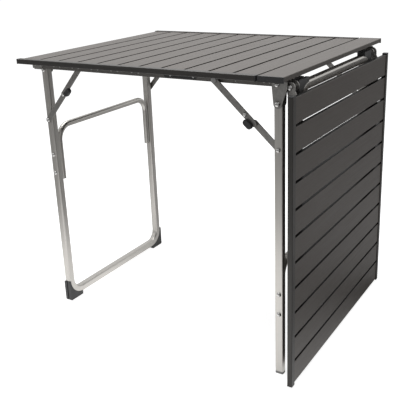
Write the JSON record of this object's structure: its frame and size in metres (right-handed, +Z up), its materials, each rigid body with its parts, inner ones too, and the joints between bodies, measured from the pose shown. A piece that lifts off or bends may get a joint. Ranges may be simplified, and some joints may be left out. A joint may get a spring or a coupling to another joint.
{
  "type": "folding table",
  "caption": "Folding aluminium slat table with a level main leaf, a hinged drop leaf, folding tube leg frames, locking braces and black plastic feet.",
  "frame": {"origin": "on the floor, under the middle of the table as it stands with its drop leaf hanging", "axes": "+Z up, +X towards the hanging leaf, +Y from front to back along the slats"},
  "size_m": [0.742, 0.6, 0.7],
  "materials": {
    "slat_metal": "satin anodised, warm dark grey",
    "edge_metal": "satin anodised, darker grey",
    "rail_metal": "satin dark grey",
    "black_plastic": "matte moulded black",
    "grey_plastic": "matte moulded light grey",
    "tube_metal": "satin drawn tube",
    "bracket_steel": "zinc plated sheet",
    "bolt_steel": "plated"
  },
  "bodies": {
    "tabletop": {"main_slat_01": "slat_metal", "main_slat_02": "slat_metal", "main_slat_03": "slat_metal", "main_slat_04": "slat_metal", "main_slat_05": "slat_metal", "main_slat_06": "slat_metal", "main_slat_07": "slat_metal", "main_slat_08": "slat_metal", "main_slat_09": "slat_metal", "main_slat_10": "slat_metal", "main_slat_11": "slat_metal", "centre_board": "slat_metal", "main_end_caps": "black_plastic", "main_edges": "edge_metal", "front_rail": "rail_metal", "back_rail": "rail_metal", "centre_rail": "rail_metal", "left_leg_brackets": "bracket_steel", "middle_leg_brackets": "bracket_steel", "hinge_plates": "bracket_steel", "rail_plates": "black_plastic", "rail_rivets": "bolt_steel", "pivot_bolts": "bolt_steel"},
    "leaf": {"leaf_slat_01": "slat_metal", "leaf_slat_02": "slat_metal", "leaf_slat_03": "slat_metal", "leaf_slat_04": "slat_metal", "leaf_slat_05": "slat_metal", "leaf_slat_06": "slat_metal", "leaf_slat_07": "slat_metal", "leaf_slat_08": "slat_metal", "leaf_slat_09": "slat_metal", "leaf_slat_10": "slat_metal", "leaf_slat_11": "slat_metal", "leaf_edges": "edge_metal", "leaf_end_caps": "black_plastic", "leaf_rails": "rail_metal", "hinge_ears": "bracket_steel", "leaf_leg_brackets": "bracket_steel", "leaf_fasteners": "bolt_steel", "leaf_upper_links": "bracket_steel"},
    "left_frame": {"left_leg_frame": "tube_metal", "left_cross_tube": "tube_metal", "left_feet": "black_plastic", "left_frame_rivets": "bolt_steel"},
    "middle_frame": {"middle_legs": "tube_metal", "middle_cross_tube": "tube_metal", "middle_leg_plugs": "grey_plastic", "middle_frame_rivets": "bolt_steel"},
    "leaf_frame": {"leaf_leg_frame": "tube_metal", "leaf_cross_tube": "tube_metal", "leaf_feet": "black_plastic", "leaf_frame_rivets": "bolt_steel", "leaf_lower_links": "bracket_steel"},
    "left_upper_link": {"left_upper_links": "bracket_steel"},
    "left_lower_link": {"left_lower_links": "bracket_steel"},
    "middle_upper_link": {"middle_upper_links": "bracket_steel"},
    "middle_lower_link": {"middle_lower_links": "bracket_steel"},
    "left_lock": {"left_lock_knobs": "black_plastic"},
    "middle_lock": {"middle_lock_knobs": "black_plastic"}
  },
  "joints": [
    {"name": "leaf_hinge", "type": "hinge", "parent": "tabletop", "child": "leaf", "pos_m": [0.343, 0, 0.672], "axis": [0, -1, 0], "range_deg": [0, 90]},
    {"name": "left_frame_fold", "type": "hinge", "parent": "tabletop", "child": "left_frame", "pos_m": [-0.361, 0, 0.661], "axis": [0, -1, 0], "range_deg": [0, 90]},
    {"name": "middle_frame_fold", "type": "hinge", "parent": "tabletop", "child": "middle_frame", "pos_m": [0.32, 0, 0.638], "axis": [0, 1, 0], "range_deg": [0, 90]},
    {"name": "leaf_frame_fold", "type": "hinge", "parent": "leaf", "child": "leaf_frame", "pos_m": [0.34, 0, 0.012], "axis": [0, -1, 0], "range_deg": [0, 1]},
    {"name": "left_upper_link_turn", "type": "hinge", "parent": "tabletop", "child": "left_upper_link", "pos_m": [-0.2304, 0, 0.6765], "axis": [0, 1, 0], "range_deg": [0, 42.3]},
    {"name": "left_lower_link_turn", "type": "hinge", "parent": "left_frame", "child": "left_lower_link", "pos_m": [-0.361, 0, 0.53], "axis": [0, -1, 0], "range_deg": [0, 38.7]},
    {"name": "middle_upper_link_turn", "type": "hinge", "parent": "tabletop", "child": "middle_upper_link", "pos_m": [0.172, 0, 0.6765], "axis": [0, -1, 0], "range_deg": [0, 33.1]},
    {"name": "middle_lower_link_turn", "type": "hinge", "parent": "middle_frame", "child": "middle_lower_link", "pos_m": [0.32, 0, 0.54], "axis": [0, 1, 0], "range_deg": [0, 34]},
    {"name": "left_lock_slide", "type": "slide", "parent": "left_upper_link", "child": "left_lock", "axis": [0.6654, 0, 0.7465], "range_m": [0, 0.005], "stiffness_N_per_m": 200},
    {"name": "middle_lock_slide", "type": "slide", "parent": "middle_upper_link", "child": "middle_lock", "axis": [-0.7351, 0, 0.678], "range_m": [0, 0.005], "stiffness_N_per_m": 200}
  ],
  "couplings": [
    {"joint": "left_upper_link_turn", "follows": "left_frame_fold", "ratio": 0.46972},
    {"joint": "left_lower_link_turn", "follows": "left_frame_fold", "ratio": 0.42959},
    {"joint": "middle_upper_link_turn", "follows": "middle_frame_fold", "ratio": 0.3674},
    {"joint": "middle_lower_link_turn", "follows": "middle_frame_fold", "ratio": 0.37721}
  ]
}
